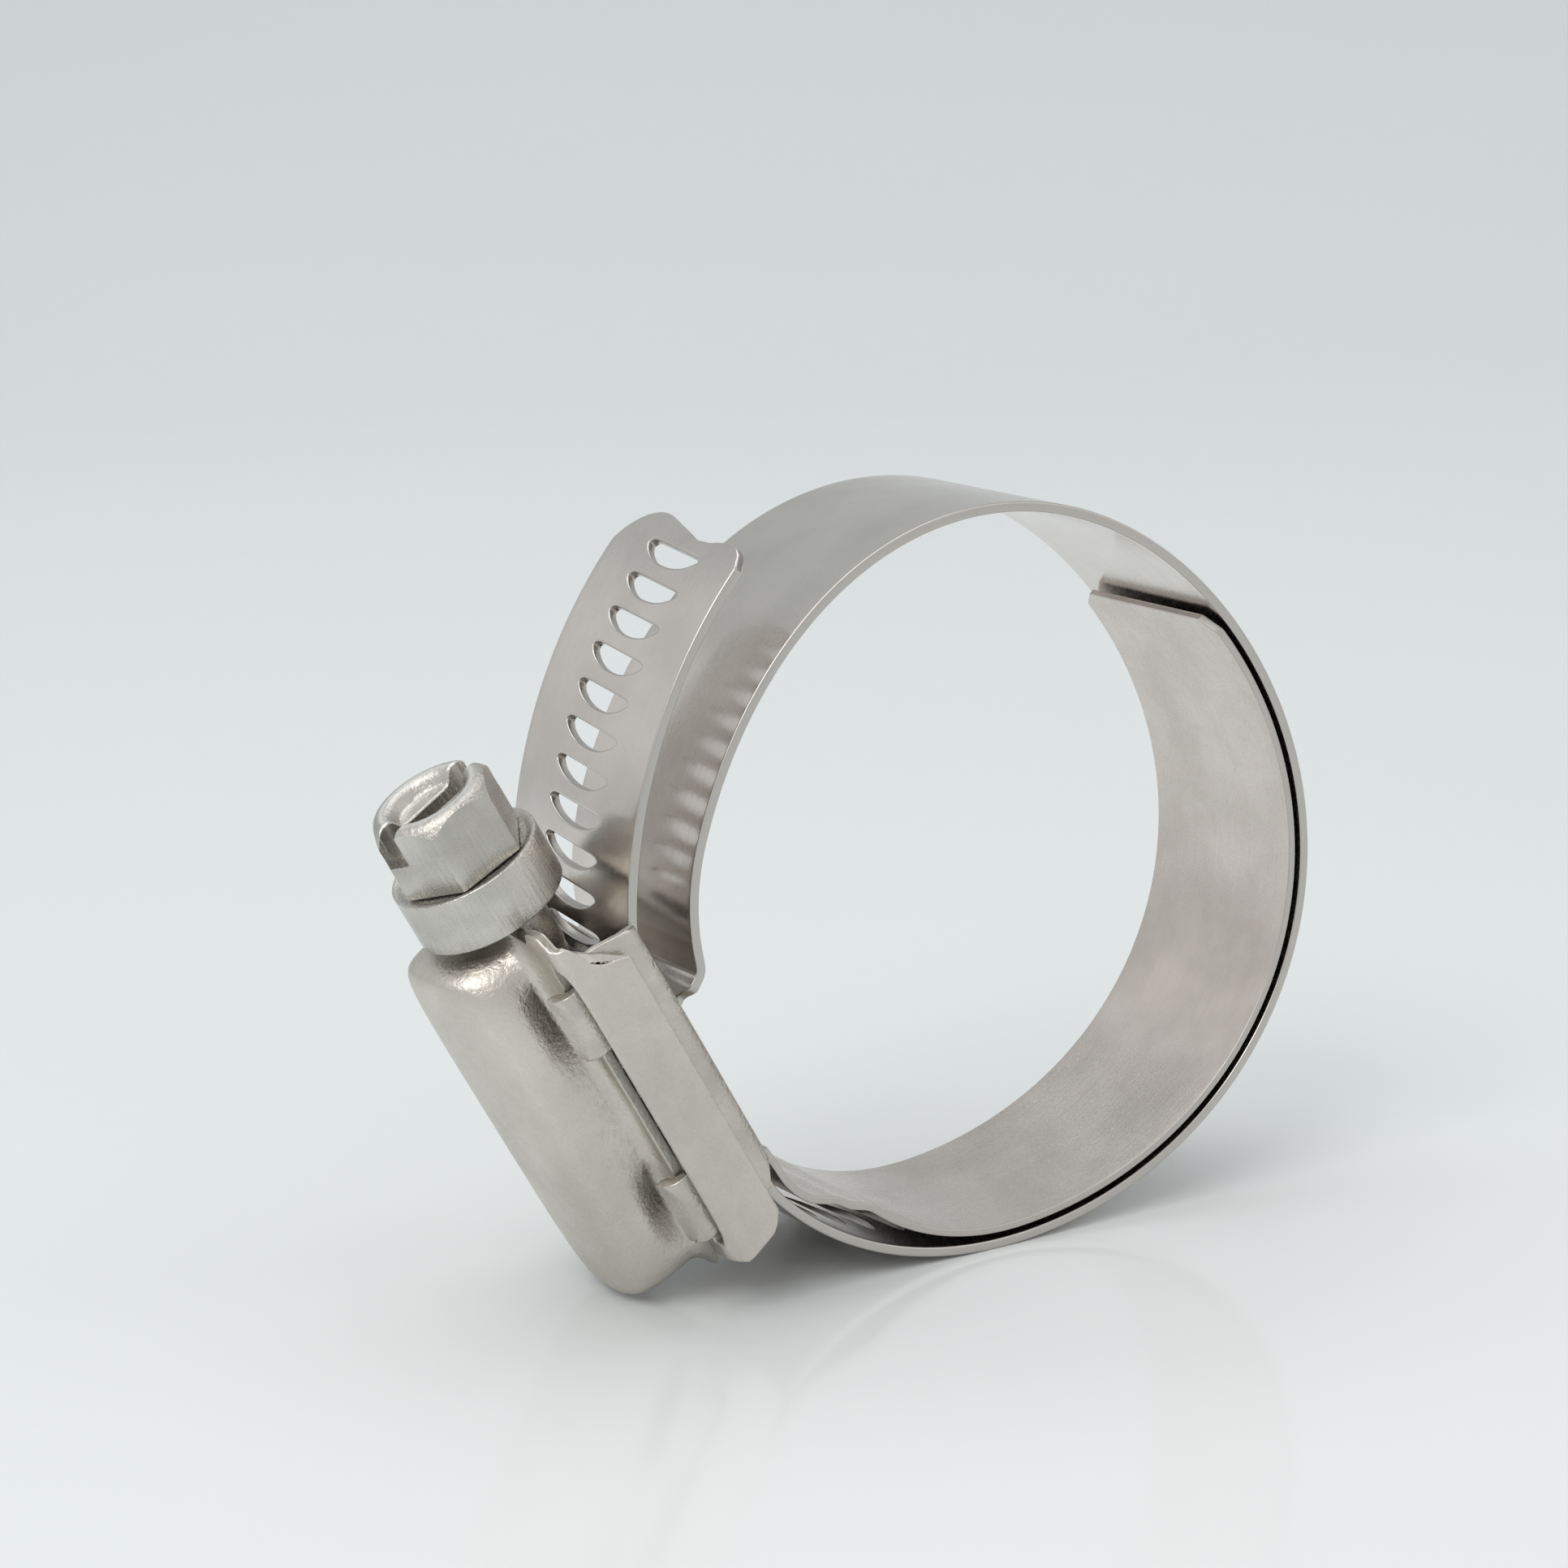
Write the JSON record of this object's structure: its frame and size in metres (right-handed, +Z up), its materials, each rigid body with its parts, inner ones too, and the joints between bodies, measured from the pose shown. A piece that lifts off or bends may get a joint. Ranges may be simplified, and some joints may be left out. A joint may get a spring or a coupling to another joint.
{
  "type": "hose clamp",
  "caption": "Worm-drive hose clamp in stainless steel: slotted band, inner liner, tabbed saddle, drawn housing and slotted hex-head screw, 45 to 50 mm hose.",
  "frame": {"origin": "centre of the bounding box footprint on the floor, clamp standing on the ring and the low end of the housing", "axes": "X along the longest side from the screw head to the far side of the ring, Y along the hose axis, Z up"},
  "size_m": [0.0706, 0.0188, 0.0528],
  "materials": {
    "band_steel": "polished",
    "liner_steel": "satin",
    "housing_steel": "satin",
    "saddle_steel": "satin",
    "screw_steel": "brushed"
  },
  "bodies": {
    "frame": {"housing": "housing_steel", "saddle": "saddle_steel", "band_anchor": "band_steel", "liner_root": "liner_steel"},
    "screw": {"worm_screw": "screw_steel"},
    "tail": {"band_tail": "band_steel"},
    "ring_1": {"band_arc_1": "band_steel"},
    "ring_2": {"band_arc_2": "band_steel"},
    "ring_3": {"band_arc_3": "band_steel"},
    "ring_4": {"band_arc_4": "band_steel"},
    "ring_5": {"band_arc_5": "band_steel"},
    "ring_6": {"band_arc_6": "band_steel"},
    "ring_7": {"band_arc_7": "band_steel"},
    "ring_8": {"band_arc_8": "band_steel"},
    "lead": {"band_lead": "band_steel"},
    "run_in": {"band_run_in": "band_steel"},
    "liner_1": {"liner_joggle": "liner_steel"},
    "liner_2": {"liner_arc_1": "liner_steel"},
    "liner_3": {"liner_arc_2": "liner_steel"},
    "liner_4": {"liner_arc_3": "liner_steel"},
    "liner_5": {"liner_arc_4": "liner_steel"}
  },
  "joints": [
    {"name": "screw_turn", "type": "hinge", "parent": "frame", "child": "screw", "pos_m": [-0.02736, 0, 0.02865], "axis": [0.4894, 0, -0.8721], "range_deg": [-90.5, 450.5]},
    {"name": "band_feed", "type": "slide", "parent": "frame", "child": "tail", "axis": [-0.4894, 0, 0.8721], "range_m": [-0.00065, 0.00325]},
    {"name": "ring_flex_1", "type": "hinge", "parent": "frame", "child": "ring_1", "pos_m": [-0.01663, 0, 0.02765], "axis": [0, -1, 0], "range_deg": [-0.37, 1.26], "stiffness_Nm_per_rad": 0.05},
    {"name": "ring_flex_2", "type": "hinge", "parent": "ring_1", "child": "ring_2", "pos_m": [-0.01057, 0, 0.04317], "axis": [0, -1, 0], "range_deg": [-0.43, 1.54], "stiffness_Nm_per_rad": 0.05},
    {"name": "ring_flex_3", "type": "hinge", "parent": "ring_2", "child": "ring_3", "pos_m": [0.00401, 0, 0.05214], "axis": [0, -1, 0], "range_deg": [-0.17, 0.24], "stiffness_Nm_per_rad": 0.05},
    {"name": "ring_flex_4", "type": "hinge", "parent": "ring_3", "child": "ring_4", "pos_m": [0.02076, 0, 0.04864], "axis": [0, -1, 0], "range_deg": [-3.17, 0.75], "stiffness_Nm_per_rad": 0.03},
    {"name": "ring_flex_5", "type": "hinge", "parent": "ring_4", "child": "ring_5", "pos_m": [0.03206, 0, 0.03624], "axis": [0, -1, 0], "range_deg": [-2.68, 0.66], "stiffness_Nm_per_rad": 0.03},
    {"name": "ring_flex_6", "type": "hinge", "parent": "ring_5", "child": "ring_6", "pos_m": [0.0344, 0, 0.01933], "axis": [0, -1, 0], "range_deg": [-0.25, 0.67], "stiffness_Nm_per_rad": 0.03},
    {"name": "ring_flex_7", "type": "hinge", "parent": "ring_6", "child": "ring_7", "pos_m": [0.02448, 0, 0.00533], "axis": [0, -1, 0], "range_deg": [-0.39, 1.35], "stiffness_Nm_per_rad": 0.01},
    {"name": "ring_flex_8", "type": "hinge", "parent": "ring_7", "child": "ring_8", "pos_m": [0.00843, 0, 0.00035], "axis": [0, -1, 0], "range_deg": [-0.26, 0.72], "stiffness_Nm_per_rad": 0.005},
    {"name": "lead_flex", "type": "hinge", "parent": "ring_8", "child": "lead", "pos_m": [-0.0079, 0, 0.00509], "axis": [0, -1, 0], "range_deg": [-10.85, 2.29], "stiffness_Nm_per_rad": 0.0003},
    {"name": "run_in_flex", "type": "hinge", "parent": "lead", "child": "run_in", "pos_m": [-0.01089, 0, 0.00772], "axis": [0, -1, 0], "range_deg": [-2.42, 11.52], "stiffness_Nm_per_rad": 0.00004},
    {"name": "liner_flex_1", "type": "hinge", "parent": "frame", "child": "liner_1", "pos_m": [-0.01031, 0, 0.00914], "axis": [0, -1, 0], "range_deg": [-1.39, 6.35], "stiffness_Nm_per_rad": 0.05},
    {"name": "liner_flex_2", "type": "hinge", "parent": "liner_1", "child": "liner_2", "pos_m": [-0.00047, 0, 0.00346], "axis": [0, -1, 0], "range_deg": [-0.28, 0.81], "stiffness_Nm_per_rad": 0.05},
    {"name": "liner_flex_3", "type": "hinge", "parent": "liner_2", "child": "liner_3", "pos_m": [0.01571, 0, 0.00243], "axis": [0, -1, 0], "range_deg": [-3.19, 0.76], "stiffness_Nm_per_rad": 0.05},
    {"name": "liner_flex_4", "type": "hinge", "parent": "liner_3", "child": "liner_4", "pos_m": [0.02968, 0, 0.01153], "axis": [0, -1, 0], "range_deg": [-0.42, 1.48], "stiffness_Nm_per_rad": 0.01},
    {"name": "liner_flex_5", "type": "hinge", "parent": "liner_4", "child": "liner_5", "pos_m": [0.03375, 0, 0.02792], "axis": [0, -1, 0], "range_deg": [-0.84, 0.29], "stiffness_Nm_per_rad": 0.001}
  ],
  "couplings": [
    {"joint": "screw_turn", "follows": "band_feed", "rad_per_m": 2416.6},
    {"joint": "ring_flex_1", "follows": "band_feed", "rad_per_m": 5.9573},
    {"joint": "ring_flex_2", "follows": "band_feed", "rad_per_m": 7.4624},
    {"joint": "ring_flex_3", "follows": "band_feed", "rad_per_m": 0.48317},
    {"joint": "ring_flex_4", "follows": "band_feed", "rad_per_m": -16.196},
    {"joint": "ring_flex_5", "follows": "band_feed", "rad_per_m": -13.581},
    {"joint": "ring_flex_6", "follows": "band_feed", "rad_per_m": 2.7674},
    {"joint": "ring_flex_7", "follows": "band_feed", "rad_per_m": 6.4308},
    {"joint": "ring_flex_8", "follows": "band_feed", "rad_per_m": 3.0727},
    {"joint": "lead_flex", "follows": "band_feed", "rad_per_m": -57.435},
    {"joint": "run_in_flex", "follows": "band_feed", "rad_per_m": 61.038},
    {"joint": "liner_flex_1", "follows": "band_feed", "rad_per_m": 33.315},
    {"joint": "liner_flex_2", "follows": "band_feed", "rad_per_m": 3.5367},
    {"joint": "liner_flex_3", "follows": "band_feed", "rad_per_m": -16.309},
    {"joint": "liner_flex_4", "follows": "band_feed", "rad_per_m": 7.14},
    {"joint": "liner_flex_5", "follows": "band_feed", "rad_per_m": -3.7066}
  ]
}
